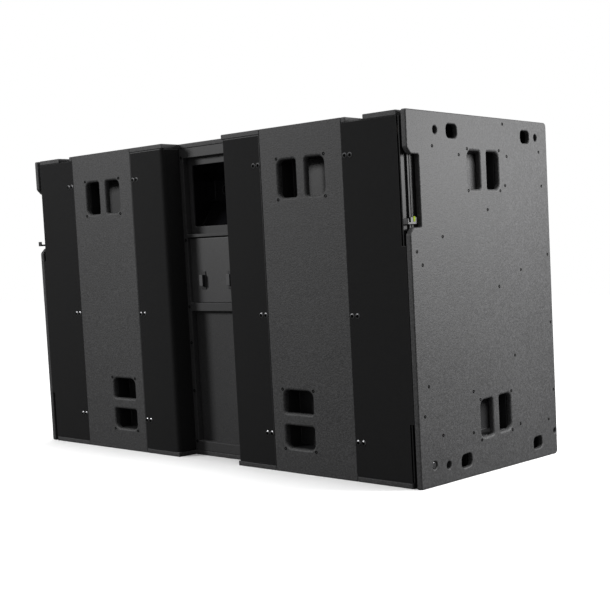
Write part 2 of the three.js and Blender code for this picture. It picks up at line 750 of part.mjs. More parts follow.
function addCentre(cabinet) {
  const add = (name, solid, finish) => addMesh(cabinet, name, solid, finishes[finish]);
  add('top_panel', topPanel(), 'paint');
  add('bottom_panel', bottomPanel(), 'paint');
  add('channel_frame', channelFrame(), 'paint');
  add('service_cover', serviceCover(), 'paint');
  add('dish_bezel', dishBezel(), 'paint');
  add('connector_dish', connectorDish(), 'plastic');
  const socketY = backPlateY[1] + dishDepth - socketFlange.t;
  add('input_socket', socket(), 'steel').position.set(-socketX, socketY, dishThroatZ());
  add('link_socket', socket(), 'steel').position.set(socketX, socketY, dishThroatZ());
  add('hatch_pocket', hatchPocket(), 'plastic');
  add('hatch_door', hatchDoor(), 'paint');
  const [hy, hz] = hingeAt();
  add('hatch_hinge_pin', rod('x', [hy, hz], hingeR, -bayHalf - 6, bayHalf + 6, 16), 'plated');
  add('hatch_latch_left', hatchLatch(-1), 'plastic');
  add('hatch_latch_right', hatchLatch(1), 'plastic');
  add('front_waveguide', waveguide(), 'plastic');
  const rear = depth - hornDepth;
  const clear = ceiling - floorTop(rear);
  for (let n = 0; n < hfCount; n += 1) {
    const driver = add(`hf_driver_${n + 1}`, hfDriver(), 'steel');
    driver.rotation.z = Math.PI;
    driver.position.set(0, rear - fitGap, floorTop(rear) + clear * ((n + 0.5) / hfCount));
  }
}

// Laying the cabinet back by the wedge angle brings its underside level; the origin is the
// middle of the footprint's box, on the ground.
const element = new THREE.Group();
const cabinet = new THREE.Group();
cabinet.rotation.x = wedge;
cabinet.position.y = (height * Math.sin(wedge) - depth / Math.cos(wedge)) / 2;
element.add(cabinet);
addCentre(cabinet);
addSide(cabinet, -1);
addSide(cabinet, 1);

export default element;
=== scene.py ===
import json
import math

import bmesh
import bpy
from mathutils import Matrix, Vector


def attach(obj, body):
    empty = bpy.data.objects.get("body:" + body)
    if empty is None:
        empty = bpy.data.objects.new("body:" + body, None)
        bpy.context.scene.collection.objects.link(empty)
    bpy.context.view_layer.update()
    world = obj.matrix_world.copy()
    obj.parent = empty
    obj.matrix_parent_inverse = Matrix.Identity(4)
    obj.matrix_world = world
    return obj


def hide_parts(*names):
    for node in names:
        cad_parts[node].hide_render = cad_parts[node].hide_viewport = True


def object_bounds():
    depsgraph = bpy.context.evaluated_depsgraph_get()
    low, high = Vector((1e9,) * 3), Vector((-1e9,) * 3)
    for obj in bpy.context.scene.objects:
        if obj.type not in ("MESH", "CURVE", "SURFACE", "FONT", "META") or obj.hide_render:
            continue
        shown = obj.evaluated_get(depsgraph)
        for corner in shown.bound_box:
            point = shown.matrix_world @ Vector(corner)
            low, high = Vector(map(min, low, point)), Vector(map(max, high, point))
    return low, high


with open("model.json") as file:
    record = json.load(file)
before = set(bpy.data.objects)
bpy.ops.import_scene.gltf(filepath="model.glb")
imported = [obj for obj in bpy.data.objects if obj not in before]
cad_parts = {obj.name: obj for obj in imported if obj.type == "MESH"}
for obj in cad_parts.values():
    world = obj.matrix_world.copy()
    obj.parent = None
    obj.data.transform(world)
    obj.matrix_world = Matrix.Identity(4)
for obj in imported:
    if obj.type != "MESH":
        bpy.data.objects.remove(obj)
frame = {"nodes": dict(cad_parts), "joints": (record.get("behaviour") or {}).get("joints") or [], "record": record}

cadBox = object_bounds()
nodes = frame["nodes"]
sides = {"left": -1, "right": 1}

# The cabinet is laid back by its wedge angle, so pieces are drawn square to it and leaned at the end
armSlide = next(j for j in frame["joints"] if j["name"] == "rear_arm_left_slide")
wedge = math.asin(-armSlide["axis"][1])
span = cadBox[1] - cadBox[0]
cabinetHeight = (span.z - span.y * math.cos(wedge) * math.sin(wedge)) / math.cos(wedge) ** 3
cabinetDepth = (span.y - cabinetHeight * math.sin(wedge)) * math.cos(wedge)
footShift = (cabinetHeight * math.sin(wedge) - cabinetDepth / math.cos(wedge)) / 2
lean = Matrix.Translation((0, footShift, 0)) @ Matrix.Rotation(wedge, 4, "X")
square = lean.inverted()


def measured(node):
    # lowest and highest corner of a node, square to the cabinet
    corners = [square @ v.co for v in nodes[node].data.vertices]
    low = Vector([min(c[i] for c in corners) for i in range(3)])
    high = Vector([max(c[i] for c in corners) for i in range(3)])
    return low, high


def bodyOf(node):
    return next(b for b, members in frame["record"]["behaviour"]["bodies"].items() if node in members)


# ---- materials

def newMaterial(name):
    material = bpy.data.materials.new(name)
    material.use_nodes = True
    return material, material.node_tree, material.node_tree.nodes["Principled BSDF"]


def addNode(tree, kind, **settings):
    node = tree.nodes.new(kind)
    for key, value in settings.items():
        if key in node.inputs:
            node.inputs[key].default_value = value
        else:
            setattr(node, key, value)
    return node


def addMath(tree, operation, first, second=None):
    node = tree.nodes.new("ShaderNodeMath")
    node.operation = operation
    for socket, value in zip(node.inputs, (first, second)):
        if value is None:
            continue
        if isinstance(value, (int, float)):
            socket.default_value = value
        else:
            tree.links.new(value, socket)
    return node.outputs[0]


def addRamp(tree, factor, stops):
    ramp = tree.nodes.new("ShaderNodeValToRGB")
    tree.links.new(factor, ramp.inputs["Fac"])
    while len(ramp.color_ramp.elements) < len(stops):
        ramp.color_ramp.elements.new(0.5)
    for element, (place, colour) in zip(ramp.color_ramp.elements, stops):
        element.position = place
        element.color = (*colour, 1)
    return ramp.outputs["Color"]


def addBump(tree, height, strength, distance):
    bump = tree.nodes.new("ShaderNodeBump")
    bump.inputs["Strength"].default_value = strength
    bump.inputs["Distance"].default_value = distance
    tree.links.new(height, bump.inputs["Height"])
    return bump.outputs["Normal"]


def shade(tone, share):
    return tuple(channel * share for channel in tone)


# Sprayed grain: fine pebbles, a slow drift in tone and a few scuffs, all in one group
def makeGrainGroup():
    group = bpy.data.node_groups.new("sprayedGrain", "ShaderNodeTree")
    for name in ("Pebble size", "Scuffs"):
        group.interface.new_socket(name=name, in_out="INPUT", socket_type="NodeSocketFloat")
    for name in ("Height", "Tone", "Scuff"):
        group.interface.new_socket(name=name, in_out="OUTPUT", socket_type="NodeSocketFloat")
    given = group.nodes.new("NodeGroupInput")
    made = group.nodes.new("NodeGroupOutput")
    coords = group.nodes.new("ShaderNodeTexCoord").outputs["Object"]
    scale = addMath(group, "DIVIDE", 1.0, given.outputs["Pebble size"])
    pebbles = addNode(group, "ShaderNodeTexVoronoi", feature="SMOOTH_F1", Smoothness=0.6)
    grit = addNode(group, "ShaderNodeTexNoise", Detail=4.0, Roughness=0.65)
    for texture in (pebbles, grit):
        group.links.new(coords, texture.inputs["Vector"])
    group.links.new(scale, pebbles.inputs["Scale"])
    group.links.new(addMath(group, "MULTIPLY", scale, 0.55), grit.inputs["Scale"])
    height = addMath(group, "MULTIPLY", pebbles.outputs["Distance"], 0.7)
    height = addMath(group, "SUBTRACT", grit.outputs["Fac"], height)
    drift = addNode(group, "ShaderNodeTexNoise", Scale=5.0, Detail=3.0, Roughness=0.5)
    group.links.new(coords, drift.inputs["Vector"])
    tone = addMath(group, "MULTIPLY", drift.outputs["Fac"], 0.1)
    tone = addMath(group, "ADD", tone, addMath(group, "MULTIPLY", grit.outputs["Fac"], 0.9))
    streaks = addNode(group, "ShaderNodeTexNoise", Scale=38.0, Detail=6.0, Roughness=0.75, Distortion=0.6)
    group.links.new(coords, streaks.inputs["Vector"])
    scuff = addMath(group, "SUBTRACT", streaks.outputs["Fac"], 0.62)
    scuff = addMath(group, "MULTIPLY", scuff, given.outputs["Scuffs"])
    scuff = addMath(group, "MAXIMUM", scuff, 0.0)
    group.links.new(height, made.inputs["Height"])
    group.links.new(tone, made.inputs["Tone"])
    group.links.new(scuff, made.inputs["Scuff"])
    return group


# Round holes in staggered rows, as a mask that is 1 on the metal and 0 in a hole
holeBlur = 0.0002


def makePerforationGroup():
    group = bpy.data.node_groups.new("punchedHoles", "ShaderNodeTree")
    for name in ("Pitch", "Hole radius"):
        group.interface.new_socket(name=name, in_out="INPUT", socket_type="NodeSocketFloat")
    group.interface.new_socket(name="Metal", in_out="OUTPUT", socket_type="NodeSocketFloat")
    given = group.nodes.new("NodeGroupInput")
    made = group.nodes.new("NodeGroupOutput")
    place = group.nodes.new("ShaderNodeUVMap")
    split = group.nodes.new("ShaderNodeSeparateXYZ")
    group.links.new(place.outputs["UV"], split.inputs["Vector"])
    pitch = given.outputs["Pitch"]
    rows = addMath(group, "MULTIPLY", pitch, math.sqrt(3))
    nearest = None
    for shift in (0.0, 0.5):
        squares = []
        for axis, step in (("X", pitch), ("Y", rows)):
            turns = addMath(group, "DIVIDE", split.outputs[axis], step)
            turns = addMath(group, "FRACT", addMath(group, "ADD", turns, shift))
            off = addMath(group, "MULTIPLY", addMath(group, "SUBTRACT", turns, 0.5), step)
            squares.append(addMath(group, "MULTIPLY", off, off))
        apart = addMath(group, "SQRT", addMath(group, "ADD", *squares))
        nearest = apart if nearest is None else addMath(group, "MINIMUM", nearest, apart)
    past = addMath(group, "SUBTRACT", nearest, given.outputs["Hole radius"])
    metal = addNode(group, "ShaderNodeMapRange", interpolation_type="SMOOTHSTEP")
    metal.inputs["From Min"].default_value = -holeBlur
    metal.inputs["From Max"].default_value = holeBlur
    group.links.new(past, metal.inputs["Value"])
    group.links.new(metal.outputs["Result"], made.inputs["Metal"])
    return group


grainGroup = makeGrainGroup()
perforationGroup = makePerforationGroup()


def addGroup(tree, group, **settings):
    node = tree.nodes.new("ShaderNodeGroup")
    node.node_tree = group
    for name, value in settings.items():
        node.inputs[name.replace("_", " ")].default_value = value
    return node


def makePaint(name, look):
    material, tree, surface = newMaterial(name)
    grain = addGroup(tree, grainGroup, Pebble_size=look["pebble"], Scuffs=look["scuffs"])
    tone = look["tone"]
    stops = [(0.35, shade(tone, 0.6)), (0.5, tone), (0.65, shade(tone, 1.6))]
    colour = addRamp(tree, grain.outputs["Tone"], stops)
    mix = addNode(tree, "ShaderNodeMix", data_type="RGBA")
    tree.links.new(grain.outputs["Scuff"], mix.inputs["Factor"])
    tree.links.new(colour, mix.inputs["A"])
    mix.inputs["B"].default_value = (*shade(tone, 3.0), 1)
    tree.links.new(mix.outputs["Result"], surface.inputs["Base Color"])
    rough = addMath(tree, "MULTIPLY", grain.outputs["Tone"], look["roughSpread"])
    tree.links.new(addMath(tree, "ADD", rough, look["rough"]), surface.inputs["Roughness"])
    surface.inputs["Specular IOR Level"].default_value = look["gloss"]
    surface.inputs["Metallic"].default_value = look.get("metal", 0.0)
    normal = addBump(tree, grain.outputs["Height"], look["bump"], look["bumpHeight"])
    tree.links.new(normal, surface.inputs["Normal"])
    return material


def makePerforated(name, look):
    material, tree, surface = newMaterial(name)
    holes = addGroup(tree, perforationGroup, Pitch=look["pitch"], Hole_radius=look["hole"])
    grain = addGroup(tree, grainGroup, Pebble_size=0.0007, Scuffs=1.0)
    tone = look["tone"]
    steel = addRamp(tree, grain.outputs["Tone"], [(0.3, shade(tone, 0.8)), (0.7, shade(tone, 1.25))])
    mix = addNode(tree, "ShaderNodeMix", data_type="RGBA")
    mix.inputs["A"].default_value = (*look["cloth"], 1)
    tree.links.new(holes.outputs["Metal"], mix.inputs["Factor"])
    tree.links.new(steel, mix.inputs["B"])
    tree.links.new(mix.outputs["Result"], surface.inputs["Base Color"])
    rough = addMath(tree, "MULTIPLY", holes.outputs["Metal"], look["rough"] - 0.95)
    tree.links.new(addMath(tree, "ADD", rough, 0.95), surface.inputs["Roughness"])
    surface.inputs["Specular IOR Level"].default_value = look["gloss"]
    normal = addBump(tree, holes.outputs["Metal"], 0.15, 0.0004)
    tree.links.new(normal, surface.inputs["Normal"])
    return material


# Brushed or turned metal: fine lines along one axis
def makeMetal(name, look):
    material, tree, surface = newMaterial(name)
    coords = tree.nodes.new("ShaderNodeTexCoord").outputs["Object"]
    stretch = tree.nodes.new("ShaderNodeMapping")
    stretch.inputs["Scale"].default_value = look["lines"]
    tree.links.new(coords, stretch.inputs["Vector"])
    lines = addNode(tree, "ShaderNodeTexNoise", Scale=60.0, Detail=5.0, Roughness=0.6)
    tree.links.new(stretch.outputs["Vector"], lines.inputs["Vector"])
    tone = look["tone"]
    colour = addRamp(tree, lines.outputs["Fac"], [(0.3, shade(tone, 0.75)), (0.7, shade(tone, 1.15))])
    tree.links.new(colour, surface.inputs["Base Color"])
    rough = addMath(tree, "MULTIPLY", lines.outputs["Fac"], 0.25)
    tree.links.new(addMath(tree, "ADD", rough, look["rough"]), surface.inputs["Roughness"])
    surface.inputs["Metallic"].default_value = look["metal"]
    surface.inputs["Specular IOR Level"].default_value = look["gloss"]
    tree.links.new(addBump(tree, lines.outputs["Fac"], 0.2, 0.0002), surface.inputs["Normal"])
    return material


# Paper cone with fine fibres
def makeCone(name, look):
    material, tree, surface = newMaterial(name)
    coords = tree.nodes.new("ShaderNodeTexCoord").outputs["Object"]
    fibres = addNode(tree, "ShaderNodeTexNoise", Scale=220.0, Detail=8.0, Roughness=0.7, Distortion=0.8)
    tree.links.new(coords, fibres.inputs["Vector"])
    tone = look["tone"]
    colour = addRamp(tree, fibres.outputs["Fac"], [(0.35, shade(tone, 0.7)), (0.65, shade(tone, 1.3))])
    tree.links.new(colour, surface.inputs["Base Color"])
    surface.inputs["Roughness"].default_value = look["rough"]
    tree.links.new(addBump(tree, fibres.outputs["Fac"], 0.3, 0.0004), surface.inputs["Normal"])
    return material


# Bare plywood: long soft grain
def makePlywood(name, look):
    material, tree, surface = newMaterial(name)
    coords = tree.nodes.new("ShaderNodeTexCoord").outputs["Object"]
    stretch = tree.nodes.new("ShaderNodeMapping")
    stretch.inputs["Scale"].default_value = (8.0, 8.0, 0.8)
    tree.links.new(coords, stretch.inputs["Vector"])
    grain = addNode(tree, "ShaderNodeTexNoise", Scale=9.0, Detail=8.0, Roughness=0.6, Distortion=1.5)
    tree.links.new(stretch.outputs["Vector"], grain.inputs["Vector"])
    tone = look["tone"]
    colour = addRamp(tree, grain.outputs["Fac"], [(0.35, shade(tone, 0.6)), (0.65, shade(tone, 1.35))])
    tree.links.new(colour, surface.inputs["Base Color"])
    surface.inputs["Roughness"].default_value = 0.75
    tree.links.new(addBump(tree, grain.outputs["Fac"], 0.2, 0.0004), surface.inputs["Normal"])
    return material


paintLook = {"tone": (0.046, 0.046, 0.047), "pebble": 0.0024, "scuffs": 0.35, "rough": 0.48,
             "roughSpread": 0.25, "gloss": 0.4, "bump": 0.55, "bumpHeight": 0.0010}
smoothPaintLook = {"tone": (0.042, 0.042, 0.043), "pebble": 0.0008, "scuffs": 0.8, "rough": 0.40,
                   "roughSpread": 0.2, "gloss": 0.5, "bump": 0.25, "bumpHeight": 0.0004}
framePaintLook = {"tone": (0.040, 0.040, 0.041), "pebble": 0.0010, "scuffs": 0.6, "rough": 0.45,
                  "roughSpread": 0.2, "gloss": 0.35, "bump": 0.25, "bumpHeight": 0.0004}
rigLook = {"tone": (0.009, 0.009, 0.0095), "pebble": 0.0009, "scuffs": 2.0, "rough": 0.42,
           "roughSpread": 0.25, "gloss": 0.3, "bump": 0.2, "bumpHeight": 0.0003}
leverLook = {"tone": (0.024, 0.024, 0.025), "pebble": 0.0008, "scuffs": 3.0, "rough": 0.32,
             "roughSpread": 0.25, "gloss": 0.5, "bump": 0.2, "bumpHeight": 0.0003}
dishLook = {"tone": (0.006, 0.006, 0.007), "pebble": 0.0010, "scuffs": 0.2, "rough": 0.14,
            "roughSpread": 0.1, "gloss": 0.5, "bump": 0.06, "bumpHeight": 0.0002}
# painted light: a light tone for the latch's front face, standing for the light falling on it
gripLook = {"tone": (0.075, 0.075, 0.077), "pebble": 0.0008, "scuffs": 0.8, "rough": 0.42,
            "roughSpread": 0.2, "gloss": 0.4, "bump": 0.2, "bumpHeight": 0.0003}
mouldLook = {"tone": (0.014, 0.014, 0.015), "pebble": 0.0006, "scuffs": 0.6, "rough": 0.38,
             "roughSpread": 0.2, "gloss": 0.45, "bump": 0.3, "bumpHeight": 0.0003}
hornLook = {"tone": (0.012, 0.012, 0.013), "pebble": 0.0012, "scuffs": 0.3, "rough": 0.32,
            "roughSpread": 0.2, "gloss": 0.5, "bump": 0.12, "bumpHeight": 0.0003}
castLook = {"tone": (0.05, 0.05, 0.052), "pebble": 0.0012, "scuffs": 1.0, "rough": 0.45,
            "roughSpread": 0.2, "gloss": 0.5, "bump": 0.4, "bumpHeight": 0.0005, "metal": 0.6}
grilleLook = {"tone": (0.018, 0.018, 0.0185), "cloth": (0.0045, 0.0045, 0.0046), "pitch": 0.0024,
              "hole": 0.0008, "rough": 0.7, "gloss": 0.15}
grilleEdgeLook = {"tone": (0.010, 0.010, 0.011), "pebble": 0.0007, "scuffs": 1.5, "rough": 0.45,
                  "roughSpread": 0.2, "gloss": 0.5, "bump": 0.15, "bumpHeight": 0.0003}
screwLook = {"tone": (0.003, 0.003, 0.003), "lines": (4.0, 4.0, 4.0), "rough": 0.6,
             "metal": 0.0, "gloss": 0.06}
washerLook = {"tone": (0.17, 0.17, 0.175), "lines": (4.0, 4.0, 4.0), "rough": 0.22,
              "metal": 1.0, "gloss": 0.5}
# plated steel given a dark tone so the pins read dark in their holes: painted shade, not the metal's own colour
platedSteelInShadeLook = {"tone": (0.16, 0.16, 0.165), "lines": (1.0, 8.0, 8.0), "rough": 0.25,
              "metal": 1.0, "gloss": 0.5}
coneLook = {"tone": (0.018, 0.018, 0.019), "rough": 0.8}
plywoodLook = {"tone": (0.055, 0.043, 0.032)}
markerLook = {"tone": (0.20, 0.28, 0.002), "pebble": 0.001, "scuffs": 0.0, "rough": 0.6,
              "roughSpread": 0.1, "gloss": 0.1, "bump": 0.1, "bumpHeight": 0.0002}

finishes = {
    "paint": (makePaint("pebbledPaint", paintLook), "textured_paint"),
    "hatchPaint": (makePaint("smoothPaint", smoothPaintLook), "hatch_paint"),
    "framePaint": (makePaint("framePaint", framePaintLook), "textured_paint"),
    "rig": (makePaint("blackenedSteel", rigLook), "rigging_steel"),
    "mould": (makePaint("mouldedPlastic", mouldLook), "moulded_plastic"),
    "horn": (makePaint("hornPlastic", hornLook), "horn_plastic"),
    "casting": (makePaint("coatedCasting", castLook), "driver_casting"),
    "socket": (makePaint("socketPlastic", mouldLook), "socket_body"),
    "grille": (makePerforated("perforatedSteel", grilleLook), "grille_steel"),
    "grilleEdge": (makePaint("foldedSteel", grilleEdgeLook), "grille_steel"),
    "lever": (makePaint("wornLever", leverLook), "rigging_steel"),
    "dish": (makePaint("glossyDish", dishLook), "moulded_plastic"),
    "grip": (makePaint("paintedLitLatchFace", gripLook), "moulded_plastic"),
    "screw": (makeMetal("blackScrew", screwLook), "rigging_steel"),
    "washer": (makeMetal("cupWasher", washerLook), "rigging_steel"),
    "plated": (makeMetal("platedSteelDarkenedForShade", platedSteelInShadeLook), "plated_steel"),
    "cone": (makeCone("paperCone", coneLook), "woofer_cone"),
    "plywood": (makePlywood("stainedPlywood", plywoodLook), "bare_plywood"),
    "marker": (makePaint("yellowGreenMarker", markerLook), "moulded_plastic"),
}
print("materials made:", len(finishes))


# ---- making pieces

def finishPiece(name, bm, finish, body, replaced=(), smoothAngle=40, weighted=True, leaned=True):
    if leaned:
        bmesh.ops.transform(bm, matrix=lean, verts=bm.verts)
    mesh = bpy.data.meshes.new(name)
    bm.to_mesh(mesh)
    bm.free()
    names = finish if isinstance(finish, (list, tuple)) else [finish]
    for each in names:
        mesh.materials.append(finishes[each][0])
    for polygon in mesh.polygons:
        polygon.use_smooth = True
    mesh.set_sharp_from_angle(angle=math.radians(smoothAngle))
    piece = bpy.data.objects.new(name, mesh)
    bpy.context.scene.collection.objects.link(piece)
    if weighted:
        shading = piece.modifiers.new("weightedNormals", "WEIGHTED_NORMAL")
        shading.keep_sharp = True
    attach(piece, body)
    if replaced:
        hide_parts(*replaced)
    return piece


def copyOf(node):
    # a node's own shape, merged and with its flat faces whole again
    bm = bmesh.new()
    bm.from_mesh(nodes[node].data)
    bmesh.ops.transform(bm, matrix=square, verts=bm.verts)
    bmesh.ops.remove_doubles(bm, verts=bm.verts, dist=0.00002)
    bmesh.ops.dissolve_limit(bm, angle_limit=math.radians(1.0), use_dissolve_boundaries=False,
                             verts=bm.verts, edges=bm.edges)
    return bm


def sharpEdges(bm, angle=35, within=None):
    edges = [e for e in bm.edges if len(e.link_faces) == 2 and e.calc_face_angle(0) > math.radians(angle)]
    if within is None:
        return edges
    low, high = within
    inside = lambda v: all(low[i] <= v.co[i] <= high[i] for i in range(3))
    return [e for e in edges if all(inside(v) for v in e.verts)]


def roundEdges(bm, edges, width, segments=3):
    if edges:
        bmesh.ops.bevel(bm, geom=edges, offset=width, offset_type="OFFSET", affect="EDGES",
                        segments=segments, profile=0.5, material=-1, clamp_overlap=False)


def soften(node, finish, width, rims=(), segments=3):
    # rims are (low, high, width) boxes whose sharp edges get a roundover of their own
    bm = copyOf(node)
    for low, high, rimWidth in rims:
        roundEdges(bm, sharpEdges(bm, within=(low, high)), rimWidth, 4)
    roundEdges(bm, sharpEdges(bm), width, segments)
    return finishPiece(node + "_finished", bm, finish, bodyOf(node), [node])


def stampAll(bm, template, places, facing):
    # copies of one small shape, its +Z turned to face along a direction
    turn = Vector(facing).to_track_quat("Z", "Y").to_matrix().to_4x4()
    for place in places:
        start = len(bm.verts)
        bm.from_mesh(template)
        bm.verts.ensure_lookup_table()
        bmesh.ops.transform(bm, matrix=Matrix.Translation(place) @ turn, verts=bm.verts[start:])


# widths and shares of the head's height that every screw has in common
screwCut = {"gap": 0.0002, "groove": 0.0005, "crown": 0.35, "crownRise": 0.7, "driveRim": 0.15}


def makeScrewMesh(name, look):
    # button or flat head with a hexagon drive, sunk in a shallow cup washer
    bm = bmesh.new()
    bmesh.ops.create_circle(bm, cap_ends=True, segments=24, radius=look["washer"])
    face = bm.faces[:][0]
    if face.normal.z < 0:
        face.normal_flip()
    gap = screwCut["gap"]
    steps = [(look["washer"] - look["head"], look["proud"] * 0.5), (gap, -screwCut["groove"]),
             (gap, look["dome"]), (look["head"] * screwCut["crown"], look["dome"] * screwCut["crownRise"])]
    for stage, (inward, upward) in enumerate(steps):
        face.material_index = 0 if stage < 2 else 1
        bmesh.ops.inset_individual(bm, faces=[face], thickness=inward, depth=0.0)
        bmesh.ops.translate(bm, vec=(0, 0, upward), verts=face.verts)
    bmesh.ops.inset_individual(bm, faces=[face], thickness=look["head"] * screwCut["driveRim"], depth=0.0)
    bmesh.ops.translate(bm, vec=(0, 0, -look["drive"]), verts=face.verts)
    mesh = bpy.data.meshes.new(name)
    bm.to_mesh(mesh)
    bm.free()
    return mesh


grilleScrew = {"washer": 0.0064, "head": 0.0038, "proud": 0.0024, "dome": 0.0008, "drive": 0.0026}
panelScrew = {"washer": 0.0038, "head": 0.0037, "proud": 0.0014, "dome": 0.0004, "drive": 0.0012}
smallScrew = {"washer": 0.0038, "head": 0.0037, "proud": 0.0014, "dome": 0.0004, "drive": 0.0012}
screwShapes = {
    "grille": makeScrewMesh("grilleScrewShape", grilleScrew),
    "panel": makeScrewMesh("panelScrewShape", panelScrew),
    "small": makeScrewMesh("smallScrewShape", smallScrew),
}


def addScrews(name, shape, places, facing, body="cabinet"):
    bm = bmesh.new()
    stampAll(bm, screwShapes[shape], places, facing)
    rim = "washer" if shape == "grille" else "screw"
    return finishPiece(name, bm, [rim, "screw"], body, smoothAngle=50, weighted=False)


# ---- panels, strips and hand holes

handHole = {"roundover": 0.0062, "screwAcross": 0.073, "screwAlong": 0.0485, "flange": 0.0105,
            "reach": 0.004, "rimDepth": 0.001}
panelEdge = {"side": 0.0032, "strip": 0.0016, "deck": 0.0018, "frame": 0.0012}


def slotRims(cup, facing, faceAt):
    # a box round the rims of the slots in front of a cup: the cup's box without its flange
    low, high = measured(cup)
    inward = handHole["flange"] - handHole["reach"]
    lowEnd = Vector([c + inward for c in low])
    highEnd = Vector([c - inward for c in high])
    lowEnd[facing] = faceAt - handHole["rimDepth"]
    highEnd[facing] = faceAt + handHole["rimDepth"]
    return lowEnd, highEnd, handHole["roundover"]


def cupCorners(cup, facing, faceAt):
    low, high = measured(cup)
    middle = (low + high) / 2
    wide = [i for i in range(3) if i != facing]
    long = wide[0] if (high - low)[wide[0]] > (high - low)[wide[1]] else wide[1]
    short = wide[1] if long == wide[0] else wide[0]
    corners = []
    for a in (-1, 1):
        for b in (-1, 1):
            corner = middle.copy()
            corner[long] += a * handHole["screwAcross"]
            corner[short] += b * handHole["screwAlong"]
            corner[facing] = faceAt
            corners.append(corner)
    return corners


def buildStrips():
    for side in sides:
        cups = [f"rear_hand_cup_{level}_{side}" for level in ("upper", "lower")]
        rims = [slotRims(cup, 1, 0.0) for cup in cups]
        soften(f"rear_strip_{side}", "paint", panelEdge["strip"], rims)
        places = [corner for cup in cups for corner in cupCorners(cup, 1, 0.0)]
        addScrews(f"rear_strip_screws_{side}", "panel", places, (0, -1, 0))


# distances of the side panel's fixing screws from its rear and top edges, as shares of depth and height
sideScrews = [
    (0.645, 0.017), (0.325, 0.113), (0.669, 0.111), (0.928, 0.092), (0.649, 0.197), (0.941, 0.197),
    (0.512, 0.266), (0.196, 0.336), (0.153, 0.093), (0.032, 0.372), (0.063, 0.408), (0.972, 0.410),
    (0.747, 0.448), (0.575, 0.490), (0.977, 0.623), (0.674, 0.701), (0.068, 0.731), (0.359, 0.776),
    (0.982, 0.837), (0.037, 0.808), (0.697, 0.910), (0.931, 0.926), (0.145, 0.872), (0.348, 0.892),
]


def outerFace(side):
    low, high = measured(f"side_panel_{side}")
    return high.x if sides[side] > 0 else low.x


def buildSidePanels():
    for side, sign in sides.items():
        outer = outerFace(side)
        cups = [f"side_hand_cup_{level}_{side}" for level in ("upper", "lower")]
        rims = [slotRims(cup, 0, outer) for cup in cups]
        soften(f"side_panel_{side}", "paint", panelEdge["side"], rims)
        places = [corner for cup in cups for corner in cupCorners(cup, 0, outer)]
        addScrews(f"side_cup_screws_{side}", "panel", places, (sign, 0, 0))
        spots = [Vector((outer, cabinetDepth * a, cabinetHeight * (1 - b))) for a, b in sideScrews]
        addScrews(f"side_panel_screws_{side}", "small", spots, (sign, 0, 0))


def buildDecks():
    for node in ("top_panel", "bottom_panel"):
        soften(node, "paint", panelEdge["deck"])


def buildCups():
    for side in sides:
        for cup in (f"rear_hand_cup_upper_{side}", f"rear_hand_cup_lower_{side}",
                    f"side_hand_cup_upper_{side}", f"side_hand_cup_lower_{side}"):
            soften(cup, "mould", 0.0018)


# ---- grilles

grilleEdge = {"border": 0.0025, "lip": 0.0006, "sheet": 0.0018, "bend": 0.012, "bendSteps": 8}


def makeSheet(plan, zLow, zHigh):
    # a sheet that follows a plan outline upwards, with the length along the outline at each corner
    bm = bmesh.new()
    reach = [0.0]
    for before, after in zip(plan, plan[1:]):
        reach.append(reach[-1] + (Vector(after) - Vector(before)).length)
    border = grilleEdge["border"]
    rowsZ = [zLow, zLow + border, zHigh - border, zHigh]
    rail = [bm.verts.new((x, y, zLow)) for x, y in plan]
    edges = [bm.edges.new(pair) for pair in zip(rail, rail[1:])]
    for below, above in zip(rowsZ, rowsZ[1:]):
        grown = bmesh.ops.extrude_edge_only(bm, edges=edges)["geom"]
        moved = [g for g in grown if isinstance(g, bmesh.types.BMVert)]
        bmesh.ops.translate(bm, vec=(0, 0, above - below), verts=moved)
        edges = [g for g in grown if isinstance(g, bmesh.types.BMEdge) and all(v in moved for v in g.verts)]
    return bm, reach


def buildFlatGrille(node):
    # a flat sheet keeps its cut-outs and folded edges; the holes are mapped across and up, in metres
    bm = copyOf(node)
    roundEdges(bm, sharpEdges(bm), grilleEdge["lip"], 2)
    mapLayer = bm.loops.layers.uv.new("sheetMap")
    for face in bm.faces:
        face.material_index = 0 if abs(face.normal.y) > 0.99 else 1
        for loop in face.loops:
            loop[mapLayer].uv = (loop.vert.co.x, loop.vert.co.z)
    finishPiece(node + "_finished", bm, ["grille", "grilleEdge"], "cabinet", [node], smoothAngle=35)


def buildWrappedGrille(name, plan, zLow, zHigh, inward, replaced):
    bm, reach = makeSheet(plan, zLow, zHigh)
    border = grilleEdge["border"]
    total = reach[-1]
    mapLayer = bm.loops.layers.uv.new("sheetMap")
    planPoints = [Vector(p) for p in plan]

    def along(co):
        flat = Vector((co.x, co.y))
        nearest = min(range(len(planPoints)), key=lambda i: (planPoints[i] - flat).length)
        return reach[nearest]

    for face in bm.faces:
        middle = face.calc_center_median()
        edgeRow = middle.z < zLow + border or middle.z > zHigh - border
        distances = [along(v.co) for v in face.verts]
        edgeColumn = max(distances) <= border + 1e-6 or min(distances) >= total - border - 1e-6
        face.material_index = 1 if edgeRow or edgeColumn else 0
        for loop in face.loops:
            loop[mapLayer].uv = (along(loop.vert.co), loop.vert.co.z)
    bmesh.ops.recalc_face_normals(bm, faces=bm.faces)
    facing = sum((f.normal * f.calc_area() for f in bm.faces), Vector())
    if facing.dot(Vector(inward)) > 0:
        bmesh.ops.reverse_faces(bm, faces=bm.faces)
    piece = finishPiece(name, bm, ["grille", "grilleEdge"], "cabinet", replaced, smoothAngle=30,
                        weighted=False)
    wall = piece.modifiers.new("sheetThickness", "SOLIDIFY")
    wall.thickness = grilleEdge["sheet"]
    wall.offset = -1
    return piece


grilleRows = {"upper": 0.103, "middle": 0.540, "lower": 0.890}
screwPair = {"half": 0.0075, "fromOuter": 0.0155, "fromInner": 0.0155}


